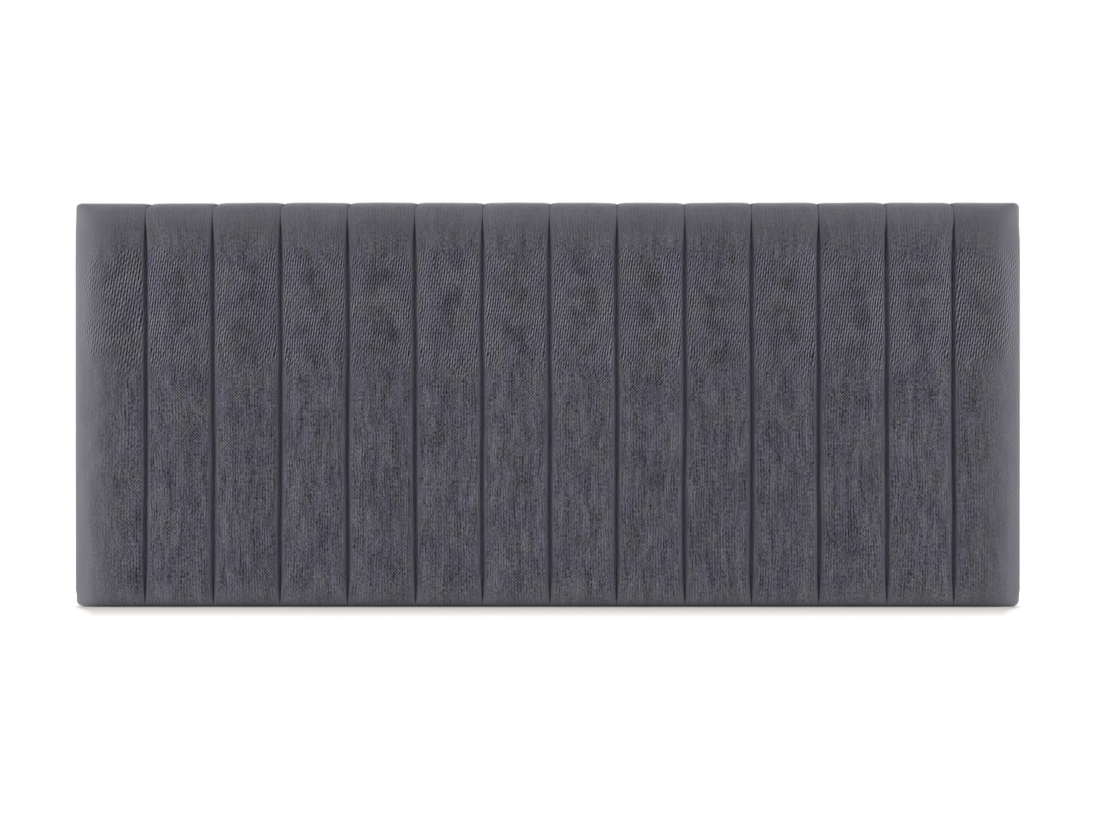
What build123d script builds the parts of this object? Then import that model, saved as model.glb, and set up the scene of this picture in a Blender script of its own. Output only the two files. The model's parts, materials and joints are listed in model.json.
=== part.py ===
from build123d import *
from math import atan2, cos, pi, sin, sqrt
import os

# Channelled headboard: one tucked cloth cover over fourteen padded foam strips on a half-lapped pine frame.
# X runs along the width, the padded face looks towards -Y, Z is up. The origin is the middle of the bottom.
# All sizes are millimetres.

# Overall sizes
width = 1400.0
height = 600.0
depth = 80.0
channel_count = 14

# Layers, from the outside in
cover_thick = 1.2
wadding_thick = 5.0
layer_gap = 0.3
panel_thick = 5.0
frame_thick = 27.0
back_cloth_thick = 0.6

# Form of a channel
shoulder_radius = 12.0
least_radius = 1.0
groove_lean = 1.0
crown_drop = 6.0
top_roll_radius = 34.0
bottom_roll_radius = 25.0
end_roll_radius = 42.0
top_roll_chords = 3
bottom_roll_chords = 2
top_dip = 2.5
top_corner_radius = 12.0
bottom_corner_radius = 8.0
blend = 0.1

# Foam strips, cut from flat sheet
shoulder_chamfer = 5.0
top_chamfer = 16.0
bottom_chamfer = 12.0
end_chamfer = 20.0

# Cover and tapes
hem_width = 32.0
tape_thick = 0.8
tape_end_gap = 8.0

# Frame
top_rail_width = 112.0
bottom_rail_width = 70.0
stile_width = 70.0
inner_stile_share = 1 / 6

# Keyhole hangers
hanger_end_gap = 200.0
hanger_width = 28.0
hanger_height = 60.0
hanger_corner = 5.0
hanger_gap = 3.0
entry_radius = 5.0
slot_radius = 2.5
slot_rise = 14.0
entry_below_middle = 7.0
pocket_wall = 1.5
pocket_depth = 12.0
hanger_screw_length = 16.0
hanger_screw_radius = 2.0
hanger_screw_head_radius = 3.7
hanger_screw_edge = 8.0
screw_fit = 0.1
pilot_spare = 1.0

# Back cloth
back_cloth_margin = 14.0
back_cloth_turn = 15.0

overrun = 10.0

# Places that follow from the sizes
pitch = width / channel_count
half_pitch = pitch / 2
front_y = -depth / 2
back_y = depth / 2
hem_back_y = back_y - back_cloth_thick
frame_back_y = hem_back_y - cover_thick
frame_front_y = frame_back_y - frame_thick
lap_y = frame_front_y + frame_thick / 2
panel_front_y = frame_front_y - panel_thick
tape_front_y = panel_front_y - tape_thick
wadding_foot_y = tape_front_y - layer_gap

wadding_outer = cover_thick + layer_gap
wadding_inner = wadding_outer + wadding_thick
foam_inset = wadding_inner + layer_gap
frame_width = width - 2 * foam_inset
frame_height = height - 2 * foam_inset
frame_bottom_z = foam_inset
frame_top_z = height - foam_inset

channel_xs = [(n - (channel_count - 1) / 2) * pitch for n in range(channel_count)]
groove_xs = [x + half_pitch for x in channel_xs[:-1]]

inner_stile_x = frame_width * inner_stile_share
end_stile_x = (frame_width - stile_width) / 2
stile_xs = [-end_stile_x, -inner_stile_x, inner_stile_x, end_stile_x]
top_rail_z = frame_top_z - top_rail_width / 2
bottom_rail_z = frame_bottom_z + bottom_rail_width / 2
rails = [(top_rail_z, top_rail_width), (bottom_rail_z, bottom_rail_width)]

hanger_x = width / 2 - hanger_end_gap
hanger_xs = [-hanger_x, hanger_x]
hanger_z = height - hem_width - hanger_gap - hanger_height / 2
entry_z = hanger_z - entry_below_middle
hanger_thick = back_y - frame_back_y
hanger_screw_rise = hanger_height / 2 - hanger_screw_edge
back_cloth_top_z = hanger_z - hanger_height / 2 - hanger_gap

os.makedirs("parts", exist_ok=True)


def save(part, name):
    """Label a finished piece and write it."""
    part.label = name
    export_step(part, f"parts/{name}.step")


def arch(x, top, radius):
    """Height at x of an arc whose highest point is at x = 0."""
    return top - radius + sqrt(radius**2 - x**2)


def quarter_round(middle_y, middle_z, radius, start, chords):
    """Points of a quarter round from the angle start, in straight chords."""
    turns = [start + pi / 2 * step / chords for step in range(chords + 1)]
    return [(middle_y + radius * cos(a), middle_z + radius * sin(a)) for a in turns]


def channel_form(inset, closed_y, at_end):
    """One padded channel about x = 0, inset under the face of the cloth and closed at y = closed_y.

    The crown and the rolls at top and bottom are one turned surface. The plan gives the two shoulders, or at an end
    of the headboard one shoulder and the broad roll to the left side. The outline from the front gives the
    shallow arch of the top edge and the corners.
    """
    wall_x = half_pitch - inset
    face_y = front_y + inset
    shoulder_r = max(shoulder_radius - inset, least_radius)
    shoulder_x = wall_x - shoulder_r + groove_lean
    crown_r = shoulder_r + (shoulder_x**2 + crown_drop**2) / (2 * crown_drop)
    crown_y = face_y + crown_r
    shoulder_y = face_y + crown_drop + shoulder_r

    # The shoulder runs from the groove's wall to where it meets the crown
    reach = sqrt(shoulder_x**2 + (crown_y - shoulder_y) ** 2)
    meet_turn = atan2((crown_y - shoulder_y) / reach, shoulder_x / reach)
    wall_turn = atan2(sqrt(shoulder_r**2 - (shoulder_r - groove_lean) ** 2), shoulder_r - groove_lean)
    middle_turn = (meet_turn + wall_turn) / 2
    shoulder_y = shoulder_y - blend
    turns = [wall_turn, middle_turn, meet_turn]
    shoulder = [(shoulder_x + shoulder_r * cos(a), shoulder_y - shoulder_r * sin(a)) for a in turns]
    fore_y = face_y - overrun
    meet_x = shoulder[2][0]

    with BuildPart() as form:
        with BuildSketch(Plane.YZ):
            top_r = top_roll_radius - inset + blend
            bottom_r = bottom_roll_radius - inset + blend
            top_z = height - inset + blend
            bottom_z = inset - blend
            with BuildLine():
                top_roll = quarter_round(face_y + top_r, height - top_roll_radius, top_r, pi / 2, top_roll_chords)
                bottom_roll = quarter_round(face_y + bottom_r, bottom_roll_radius, bottom_r, pi, bottom_roll_chords)
                Polyline((crown_y, bottom_z), (crown_y, top_z), *top_roll, *bottom_roll, close=True)
            make_face()
        revolve(axis=Axis((0, crown_y, 0), (0, 0, 1)))

        with BuildSketch(Plane.XY.offset(-overrun)):
            with BuildLine():
                ThreePointArc(*shoulder)
                Polyline(shoulder[0], (wall_x, closed_y), (-wall_x - blend * at_end, closed_y))
                if at_end:
                    roll_x = end_roll_radius - half_pitch
                    roll_y = end_roll_radius + front_y
                    Line((-wall_x - blend, closed_y), (-wall_x - blend, roll_y))
                    CenterArc((roll_x, roll_y), end_roll_radius - inset + blend, 180, 90)
                    Polyline((roll_x, face_y - blend), (roll_x, fore_y), (meet_x, fore_y), shoulder[2])
                else:
                    ThreePointArc(*[(-x, y) for x, y in shoulder])
                    Line((-wall_x, closed_y), (-shoulder[0][0], shoulder[0][1]))
                    Polyline((-meet_x, shoulder[2][1]), (-meet_x, fore_y), (meet_x, fore_y), shoulder[2])
            make_face()
        extrude(amount=height + 2 * overrun, mode=Mode.INTERSECT)

        with BuildSketch(Plane.XZ.offset(-closed_y - overrun)) as front:
            left_x = -wall_x if at_end else -half_pitch - overrun
            right_x = half_pitch + overrun
            top_z = height - inset
            arch_r = (half_pitch**2 + top_dip**2) / (2 * top_dip) - inset
            with BuildLine():
                left_top = (left_x, arch(left_x, top_z, arch_r))
                right_top = (right_x, arch(right_x, top_z, arch_r))
                ThreePointArc(left_top, (0, top_z), right_top)
                Polyline(left_top, (left_x, inset), (right_x, inset), right_top)
            make_face()
            if at_end:
                for place, radius in ((-1, top_corner_radius), (0, bottom_corner_radius)):
                    corner = front.vertices().group_by(Axis.X)[0].sort_by(Axis.Y)[place]
                    fillet(corner, max(radius - inset, least_radius))
        extrude(amount=depth + 2 * overrun, mode=Mode.INTERSECT)
    return form.part


def strip_form(inset, closed_y, at_end):
    """Flat-fronted foam strip about x = 0 with cut edges, under the crown that the wadding makes."""
    with BuildPart() as strip:
        with Locations((0, closed_y, height / 2)):
            Box(pitch - 2 * inset, closed_y - front_y - inset - crown_drop, height - 2 * inset,
                align=(Align.CENTER, Align.MAX, Align.CENTER))
        cuts = [(Axis.Z, -1, top_chamfer), (Axis.Z, 0, bottom_chamfer), (Axis.X, -1, shoulder_chamfer),
                (Axis.X, 0, end_chamfer if at_end else shoulder_chamfer)]
        for axis, place, cut in cuts:
            front_face = strip.faces().sort_by(Axis.Y)[0]
            chamfer(front_face.edges().sort_by(axis)[place], cut)
    return strip.part


def in_row(form, inset, closed_y):
    """One form for every channel, each in its place, from left to right."""
    middle = form(inset, closed_y, False)
    left = form(inset, closed_y, True)
    row = [left] + [middle] * (channel_count - 2) + [mirror(left, about=Plane.YZ)]
    return [Pos(x, 0, 0) * piece for x, piece in zip(channel_xs, row)]


def box_between(x_range, y_range, z_range):
    """Box between three pairs of limits, for use outside a part."""
    size = [high - low for low, high in (x_range, y_range, z_range)]
    middle = [(high + low) / 2 for low, high in (x_range, y_range, z_range)]
    return Pos(*middle) * Box(*size)


def frame_block(from_y, to_y):
    """Block with the outline of the frame."""
    half = frame_width / 2
    return box_between((-half, half), (from_y, to_y), (frame_bottom_z, frame_top_z))


def wood_screw(length, shank_r, head_r):
    """Countersunk screw along +Z, with its flat head at z = 0."""
    neck_z = shank_r - head_r
    with BuildPart() as screw:
        with BuildSketch(Plane.XZ):
            with BuildLine():
                Polyline((0, 0), (head_r, 0), (shank_r, neck_z), (shank_r, -length), (0, -length), close=True)
            make_face()
        revolve(axis=Axis.Z)
    return screw.part


def on_back(x, y, z):
    """Plane at a point, looking out of the back."""
    return Plane(origin=(x, y, z), x_dir=(-1, 0, 0), z_dir=(0, 1, 0))


# Foam strips, one for each channel, on the face panel
for number, form in enumerate(in_row(strip_form, foam_inset, panel_front_y), 1):
    with BuildPart() as foam_strip:
        add(form)
    save(foam_strip.part, f"foam_strip_{number:02d}")

# Wadding over each strip and over the edges of the frame
wadding_outsides = in_row(channel_form, wadding_outer, frame_back_y)
wadding_insides = in_row(strip_form, wadding_inner, frame_back_y + overrun)
inside_wadding = frame_block(wadding_foot_y, frame_back_y + overrun)
for number, (outside, inside) in enumerate(zip(wadding_outsides, wadding_insides), 1):
    with BuildPart() as wadding:
        add(outside)
        add(inside, mode=Mode.SUBTRACT)
        add(inside_wadding, mode=Mode.SUBTRACT)
    save(wadding.part, f"wadding_{number:02d}")

# Cover: one cloth, crowned over the channels and tucked to the tapes between them, with its hem on the back
cover_outsides = in_row(channel_form, 0, hem_back_y)
cover_insides = in_row(channel_form, cover_thick, frame_back_y)
inside_cover = frame_block(tape_front_y, frame_back_y)
with BuildPart() as cover:
    add(cover_outsides)
    add(cover_insides, mode=Mode.SUBTRACT)
    add(inside_cover, mode=Mode.SUBTRACT)
    with Locations((0, hem_back_y, height / 2)):
        Box(width - 2 * hem_width, 2 * cover_thick + overrun, height - 2 * hem_width,
            align=(Align.CENTER, Align.CENTER, Align.CENTER), mode=Mode.SUBTRACT)
save(cover.part, "cover")

# Pull tapes: one at the foot of each tuck
for number, x in enumerate(groove_xs, 1):
    with BuildPart() as pull_tape:
        with Locations((x, panel_front_y, height / 2)):
            Box(2 * (foam_inset - layer_gap), tape_thick, frame_height - 2 * tape_end_gap,
                align=(Align.CENTER, Align.MAX, Align.CENTER))
    save(pull_tape.part, f"pull_tape_{number:02d}")

# Face panel
with BuildPart() as face_panel:
    with Locations((0, panel_front_y, height / 2)):
        Box(frame_width, panel_thick, frame_height, align=(Align.CENTER, Align.MIN, Align.CENTER))
save(face_panel.part, "face_panel")

# Rails: their laps keep the back half of the thickness
for name, (z, rail_width) in zip(("top_rail", "bottom_rail"), rails):
    with BuildPart() as rail:
        with Locations((0, frame_front_y, z)):
            Box(frame_width, frame_thick, rail_width, align=(Align.CENTER, Align.MIN, Align.CENTER))
        with Locations(*[(x, lap_y, z) for x in stile_xs]):
            Box(stile_width, frame_thick, rail_width, align=(Align.CENTER, Align.MAX, Align.CENTER),
                mode=Mode.SUBTRACT)
        if name == "top_rail":
            # Pockets for the heads of the wall screws, and pilot holes for the hanger plates
            for x in hanger_xs:
                with BuildSketch(on_back(x, frame_back_y, entry_z)):
                    Circle(entry_radius + pocket_wall)
                    with Locations((0, slot_rise / 2)):
                        Rectangle(2 * (entry_radius + pocket_wall), slot_rise)
                    with Locations((0, slot_rise)):
                        Circle(entry_radius + pocket_wall)
                extrude(amount=-pocket_depth, mode=Mode.SUBTRACT)
            with Locations(*[on_back(x, frame_back_y, hanger_z + side * hanger_screw_rise)
                             for x in hanger_xs for side in (-1, 1)]):
                Hole(hanger_screw_radius + screw_fit, hanger_screw_length + pilot_spare)
    save(rail.part, name)

# Stiles: full height, with the front half of their thickness in the laps
stile_names = ("left_stile", "inner_stile_left", "inner_stile_right", "right_stile")
for name, x in zip(stile_names, stile_xs):
    with BuildPart() as stile:
        with Locations((x, frame_front_y, height / 2)):
            Box(stile_width, frame_thick, frame_height, align=(Align.CENTER, Align.MIN, Align.CENTER))
        for z, rail_width in rails:
            with Locations((x, lap_y, z)):
                Box(stile_width, frame_thick, rail_width, align=(Align.CENTER, Align.MIN, Align.CENTER),
                    mode=Mode.SUBTRACT)
    save(stile.part, name)

# Keyhole hangers: the screw's head enters the round hole and the plate drops onto its shank
for name, x in zip(("hanger_left", "hanger_right"), hanger_xs):
    with BuildPart() as hanger:
        with BuildSketch(on_back(x, frame_back_y, hanger_z)):
            plate = Rectangle(hanger_width, hanger_height)
            chamfer(plate.vertices(), hanger_corner)
        extrude(amount=hanger_thick)
        with BuildSketch(on_back(x, back_y, entry_z)):
            Circle(entry_radius)
            with Locations((0, slot_rise / 2)):
                Rectangle(2 * slot_radius, slot_rise)
            with Locations((0, slot_rise)):
                Circle(slot_radius)
        extrude(amount=-hanger_thick, mode=Mode.SUBTRACT)
        with Locations(*[on_back(x, back_y, hanger_z + side * hanger_screw_rise) for side in (-1, 1)]):
            CounterSinkHole(hanger_screw_radius + screw_fit, hanger_screw_head_radius + screw_fit,
                            hanger_thick, counter_sink_angle=90)
    save(hanger.part, name)

hanger_screw = wood_screw(hanger_screw_length, hanger_screw_radius, hanger_screw_head_radius)
with BuildPart() as hanger_screws:
    with Locations(*[on_back(x, back_y, hanger_z + side * hanger_screw_rise)
                     for x in hanger_xs for side in (-1, 1)]):
        add(hanger_screw)
save(hanger_screws.part, "hanger_screws")

# Back cloth: its top edge is turned under twice and sits on the top rail, below the hangers
with BuildPart() as back_cloth:
    with Locations((0, hem_back_y, back_cloth_margin)):
        Box(width - 2 * back_cloth_margin, back_cloth_thick, back_cloth_top_z - back_cloth_margin,
            align=(Align.CENTER, Align.MIN, Align.MIN))
    with Locations((0, hem_back_y, back_cloth_top_z)):
        Box(width - 2 * hem_width, cover_thick, back_cloth_turn, align=(Align.CENTER, Align.MAX, Align.MAX))
save(back_cloth.part, "back_cloth")
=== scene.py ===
"""Channelled headboard, dressed: its cover, padding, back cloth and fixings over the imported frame."""

import json
import math

import bmesh
import bpy
import numpy as np
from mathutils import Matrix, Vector, noise


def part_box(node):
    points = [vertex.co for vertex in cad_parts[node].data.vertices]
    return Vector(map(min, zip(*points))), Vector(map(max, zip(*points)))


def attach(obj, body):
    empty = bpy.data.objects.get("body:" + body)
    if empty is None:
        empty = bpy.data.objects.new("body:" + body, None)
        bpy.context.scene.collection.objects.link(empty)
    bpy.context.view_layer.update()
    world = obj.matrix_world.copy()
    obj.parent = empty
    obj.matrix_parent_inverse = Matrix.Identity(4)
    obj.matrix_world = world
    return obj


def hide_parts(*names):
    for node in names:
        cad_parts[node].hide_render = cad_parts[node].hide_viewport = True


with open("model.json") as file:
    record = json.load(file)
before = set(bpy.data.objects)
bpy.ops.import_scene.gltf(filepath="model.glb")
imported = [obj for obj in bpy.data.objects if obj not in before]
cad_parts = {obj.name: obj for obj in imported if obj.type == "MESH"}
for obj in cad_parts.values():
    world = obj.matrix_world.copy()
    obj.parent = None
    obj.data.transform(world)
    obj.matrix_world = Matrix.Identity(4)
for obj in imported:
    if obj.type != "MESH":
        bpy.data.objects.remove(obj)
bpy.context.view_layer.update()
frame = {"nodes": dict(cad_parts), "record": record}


# ---- Sizes in metres, repeated from the part's source ----

width, height = 1.4, 0.6
front_y, back_y = -0.040, 0.040
channel_count = 14
pitch = width / channel_count
hem_width = 0.032
hem_back_y = 0.0394
frame_back_y = 0.0382
panel_front_y = 0.0062
back_cloth_margin = 0.014
back_cloth_top = 0.502
hanger_xs = (-0.5, 0.5)
hanger_z = 0.535
frame_top_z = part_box("top_rail")[1][2]
screw_head, screw_shank, screw_length, screw_rise = 0.0037, 0.0020, 0.016, 0.022

# Forms of the padding and the cloth
cloth_thick = 0.0010
padding_rise = 0.034
top_roll, bottom_roll, end_roll = 0.038, 0.016, 0.064
corner_rounding = 0.009
side_y = front_y + padding_rise
channel_shoulder, roll_shoulder, edge_shoulder = 0.0070, 0.0015, 0.0040
notch_depth, notch_width = 0.0015, 0.0048
channel_drop, roll_drop, edge_drop = 0.0042, 0.0014, 0.0016
least_shoulder, least_padding_shoulder, least_drop = 0.0010, 0.0035, 0.0005
mouth_gap, mouth_depth, tuck_gap = 0.0024, 0.0080, 0.0001
tuck_drift, tuck_squeeze = 0.0027, 0.0069
tuck_end_y = 0.0035
tuck_in_from_top, tuck_in_from_bottom = 0.0066, 0.0045
settle_limit, settle_frames = 0.0022, 20
welded = 1e-6

scene = bpy.context.scene


def placed(name, data):
    """A new object at the origin, in the scene."""
    made = bpy.data.objects.new(name, data)
    scene.collection.objects.link(made)
    return made


def mesh_of(name, points, edges=(), faces=()):
    mesh = bpy.data.meshes.new(name)
    mesh.from_pydata([tuple(map(float, p)) for p in points], list(edges), [tuple(map(int, f)) for f in faces])
    return mesh


# ---- Shader maths ----

def operation(name, turned=False):
    """An operator's method, which adds one Math node."""
    return lambda term, *others: term.maths(name, *((*others, term) if turned else (term, *others)))


class Term:
    """A socket that takes part in Python's arithmetic."""

    def __init__(self, wiring, socket):
        self.wiring, self.socket = wiring, socket

    def maths(self, operation, *values):
        return self.wiring.node("ShaderNodeMath", dict(enumerate(values)), operation=operation)[0]

    __add__ = __radd__ = operation("ADD")
    __sub__, __rsub__ = operation("SUBTRACT"), operation("SUBTRACT", turned=True)
    __mul__ = __rmul__ = operation("MULTIPLY")
    __truediv__ = operation("DIVIDE")
    __abs__, sine, power = operation("ABSOLUTE"), operation("SINE"), operation("POWER")

    def within(self, low, high):
        return self.wiring.node("ShaderNodeClamp", {"Value": self, "Min": low, "Max": high})["Result"]

    def ramp(self, low, high):
        """0 below low, 1 above high, and a smooth step between them."""
        return self.wiring.node("ShaderNodeMapRange", {"Value": self, "From Min": low, "From Max": high},
                                interpolation_type="SMOOTHSTEP")["Result"]


class Outputs:
    """The outputs of a node, by place or by name, as terms."""

    def __init__(self, wiring, made):
        self.wiring, self.made = wiring, made

    def __getitem__(self, key):
        return Term(self.wiring, find_socket(self.made.outputs, key))


def find_socket(sockets, key):
    """A socket by place, by its identifier or by its name."""
    if isinstance(key, int):
        return sockets[key]
    return next((s for s in sockets if s.identifier == key), None) or sockets[key]


class Wiring:
    """A node tree in the making."""

    def __init__(self, tree):
        self.tree = tree
        self.tree.nodes.clear()

    def node(self, kind, values=None, **settings):
        """Adds a node. Its settings come first, and then its sockets get their values or links."""
        made = self.tree.nodes.new(kind)
        for name, setting in settings.items():
            setattr(made, name, setting)
        for key, value in (values or {}).items():
            socket = find_socket(made.inputs, key)
            if isinstance(value, Term):
                self.tree.links.new(value.socket, socket)
            else:
                socket.default_value = value
        return Outputs(self, made)

    def vector(self, x, y, z=0.0):
        return self.node("ShaderNodeCombineXYZ", {"X": x, "Y": y, "Z": z})[0]

    def parts(self, vector):
        split = self.node("ShaderNodeSeparateXYZ", {0: vector})
        return split["X"], split["Y"], split["Z"]

    def seen_directly(self):
        """1 for what the camera sees, also in a mirror, and 0 for the light that falls on other things."""
        ray = self.node("ShaderNodeLightPath")
        return ray["Is Camera Ray"].maths("MAXIMUM", ray["Is Camera Ray"], ray["Is Glossy Ray"])


class Finish(Wiring):
    """A material in the making."""

    def __init__(self, name, **constants):
        self.material = bpy.data.materials.new(name)
        self.material.use_nodes = True
        super().__init__(self.material.node_tree)
        self.constants = constants

    def place(self):
        """Object coordinates as three terms."""
        return self.parts(self.node("ShaderNodeTexCoord")["Object"])

    def cloth_place(self):
        """Metres along and up the cloth itself as two terms."""
        return self.parts(self.node("ShaderNodeUVMap", uv_map="cloth")["UV"])[:2]

    def cloud(self, x, y, z=0.0, detail=2.0, roughness=0.5, distortion=0.0):
        """Noise from 0 to 1 at coordinates that are already scaled."""
        values = {"Vector": self.vector(x, y, z), "Scale": 1.0, "Detail": detail, "Roughness": roughness,
                  "Distortion": distortion}
        return self.node("ShaderNodeTexNoise", values)["Fac"]

    def mixed(self, share, first, second, how="MIX"):
        """A colour between two colours."""
        return self.node("ShaderNodeMix", {"Factor_Float": share, "A_Color": first, "B_Color": second},
                         data_type="RGBA", blend_type=how)["Result_Color"]

    def done(self, colour, roughness, height, depth, strength=1.0):
        """Ends the material in one shader. height, from 0 to 1, is raised by depth metres."""
        bump = self.node("ShaderNodeBump", {"Height": height, "Distance": depth, "Strength": strength})
        values = {"Base Color": colour, "Roughness": roughness, "Normal": bump["Normal"]}
        values.update({name.replace("_", " "): value for name, value in self.constants.items()})
        shader = self.node("ShaderNodeBsdfPrincipled", values)
        self.node("ShaderNodeOutputMaterial", {"Surface": shader["BSDF"]})
        return self.material


def paint(red, green, blue):
    """A colour written as it is seen, from 0 to 255, as the linear values a shader takes."""
    linear = [v / 255 / 12.92 if v <= 10 else ((v / 255 + 0.055) / 1.055) ** 2.4 for v in (red, green, blue)]
    return (*linear, 1.0)


# ---- Finishes ----

def slub_cloth():
    """Grey upholstery cloth: upright slubs over a coarse weave, in violet and olive greys with a soft sheen."""
    f = Finish("grey_slub_cloth", Sheen_Weight=0.22, Sheen_Roughness=0.45, Sheen_Tint=(0.94, 0.94, 1.0, 1.0),
               Specular_IOR_Level=0.12)
    u, v = f.cloth_place()
    x, y, z = f.place()
    yarn_width, pick_height, dash_height = 0.0041, 0.0046, 0.0112
    dashes_across, dashes_up = 262.0, 38.0
    # the yarns wander, more from yarn to yarn than along one, and the cloth is pulled askew in places
    askew = (f.cloud(u * 12, v * 17, 13.0, detail=0.0) - 0.5) * 0.013
    wander = (f.cloud(u * 60, v * 14, 3.0) - 0.5) * 5.0 + (f.cloud(u * 14, v * 20, 8.0) - 0.5) * 8.0
    warp = (u * (math.tau / yarn_width) + wander).sine()
    weft = (v * (math.tau / pick_height) + (f.cloud(u * 30, v * 40, 5.0) - 0.5) * 5.0).sine()
    weave = warp * weft
    slub = f.cloud((u + askew) * 250, v * 34, 1.0, detail=3.0, roughness=0.72)
    grit = f.cloud(u * 420, v * 250, 11.0, detail=2.0, roughness=0.6)
    broad = f.cloud((u + askew) * 88, v * 14, 2.0, detail=3.0, distortion=0.3)
    # the band below the top, where the weave shows as leaning dashes
    from_tuck = (x - tuck_drift) / (1.0 - tuck_squeeze) + width / 2
    from_tuck = from_tuck.maths("PINGPONG", from_tuck, pitch / 2)
    middle = from_tuck.ramp(0.008, 0.045)
    lean = u * (math.tau * dashes_across) - v * (math.tau * dashes_up)
    lean = lean + (f.cloud(u * 18, v * 14, 6.0) - 0.5) * 4.5
    steps = v * (math.tau / dash_height) + lean * 0.5 + (f.cloud(u * 90, v * 50, 7.0) - 0.5) * 3.0
    dash = lean.sine() * (0.50 + 0.50 * steps.sine())
    begin = v + middle * 0.014 + (f.cloud(u * 24, 0.3, 16.0) - 0.5) * 0.030
    band = v.ramp(0.315, 0.42) * (1.0 - begin.ramp(0.502, 0.545))
    patch = f.cloud(u * 30, v * 26, 9.0, detail=2.5).ramp(0.38, 0.58)
    strong = f.cloud(u * 3.1, 0.5, 12.0).ramp(0.42, 0.60) * 0.4 + 0.6
    # inside each tuck the colour is made much lighter: painted light that lifts the shade deep in the crease
    tuck_painted_light = y.ramp(-0.0290, -0.0265) * (1.0 - abs(x).ramp(0.618, 0.628))
    tuck_painted_light = tuck_painted_light * z.ramp(0.018, 0.030) * (1.0 - z.ramp(0.540, 0.556))
    # plain near the outline and beside each tuck; near the outline the colour is also made lighter further down, a
    # painted sheen
    upright = (v.ramp(-0.005, 0.045) * 0.70 + 0.30) * (1.0 - 0.76 * v.ramp(0.512, 0.580))
    outline = upright * (1.0 - 0.78 * abs(x).ramp(0.595, 0.688))
    open_cloth = outline * (0.35 + 0.65 * from_tuck.ramp(0.003, 0.012))
    relief = (slub - 0.5) * 2.1 + (broad - 0.5) * 1.5 + (grit - 0.5) * 3.6
    relief = relief + weave * (0.32 + 0.46 * patch) + warp * (0.40 - 0.24 * patch)
    relief = relief * open_cloth * (1.0 - 0.40 * band) + dash * band * open_cloth * (2.5 + 3.4 * patch) * strong
    # darker blotches along the middle of each channel, partly the cloth's own patches and partly painted shade, and
    # tones that differ between channels and places
    blotch_and_middle_shade = f.cloud((u + askew) * 44, v * 36, 14.0, detail=3.0, roughness=0.6).ramp(0.38, 0.66)
    blotch_and_middle_shade = middle * outline * blotch_and_middle_shade * (0.07 + 0.36 * band)
    shade = (relief + 1.01).within(0.05, 2.6)
    # lighter beside the tucks, a painted highlight on the channels' shoulders, and darker along the middle, partly
    # painted shade
    shade = shade * (1.0 + 0.045 * (1.0 - middle) * (1.0 + band) - blotch_and_middle_shade)
    shade = shade * (0.965 + 0.07 * f.cloud(u * 8, 0.5, 21.0).ramp(0.40, 0.60))
    shade = shade * (1.0 + 0.34 * band * open_cloth * (f.cloud(u * 17, v * 15, 24.0, detail=2.0) - 0.5))
    tint = f.cloud(u * 26, v * 19, 4.0, detail=3.0, roughness=0.6).ramp(0.42, 0.60)
    base = f.mixed(tint, paint(86, 85, 97), paint(90, 89, 95))
    # lighter, more neutral colour near the top and the ends: a painted sheen on the rolled edges
    base = f.mixed(1.0 - outline, base, paint(97, 96, 102))
    # painted light inside the tucks
    base = f.mixed(tuck_painted_light, base, paint(150, 142, 166))
    shade = f.node("ShaderNodeCombineColor", {0: shade, 1: shade, 2: shade})[0]
    colour = f.mixed(1.0, base, shade, "MULTIPLY")
    return f.done(colour, 0.9, relief * 0.35 + weave * open_cloth * 0.2 + 0.5, 0.0008, 0.6)


def fleece():
    f = Finish("white_fleece", Sheen_Weight=0.3, Specular_IOR_Level=0.1)
    x, y, z = f.place()
    fibres = f.cloud(x * 420, z * 300, y * 420, detail=5.0, roughness=0.7, distortion=1.2)
    tufts = f.cloud(x * 60, z * 50, y * 60, detail=3.0)
    white = f.mixed(tufts, paint(232, 232, 228), paint(244, 244, 241))
    return f.done(white, 0.95, fibres * 0.6 + tufts * 0.4, 0.0018)


def foam():
    f = Finish("cream_foam", Specular_IOR_Level=0.1)
    x, y, z = f.place()
    cells = f.node("ShaderNodeTexVoronoi", {"Vector": f.vector(x, y, z), "Scale": 620.0})["Distance"]
    yellowing = f.cloud(x * 9, y * 9, z * 9, detail=3.0)
    return f.done(f.mixed(yellowing, paint(236, 228, 198), paint(224, 211, 171)), 0.92, cells, 0.0010)


def cotton_tape():
    f = Finish("cotton_twill_tape", Specular_IOR_Level=0.15)
    x, y, z = f.place()
    twill = ((x + z) * 5200.0).sine() * 0.5 + (z * 3600.0).sine() * 0.25 + 0.5
    stain = f.cloud(x * 30, z * 30, y * 30, detail=3.0)
    return f.done(f.mixed(stain, paint(222, 214, 194), paint(206, 196, 172)), 0.9, twill, 0.0003)


def hardboard():
    f = Finish("brown_hardboard", Specular_IOR_Level=0.25)
    x, y, z = f.place()
    fibres = f.cloud(x * 500, z * 500, y * 500, detail=4.0, roughness=0.65)
    blotches = f.cloud(x * 14, z * 14, y * 14, detail=4.0)
    colour = f.mixed(blotches * 0.6 + fibres * 0.4, paint(128, 88, 56), paint(160, 118, 80))
    return f.done(colour, 0.55 + 0.2 * fibres, fibres, 0.0002)


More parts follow.
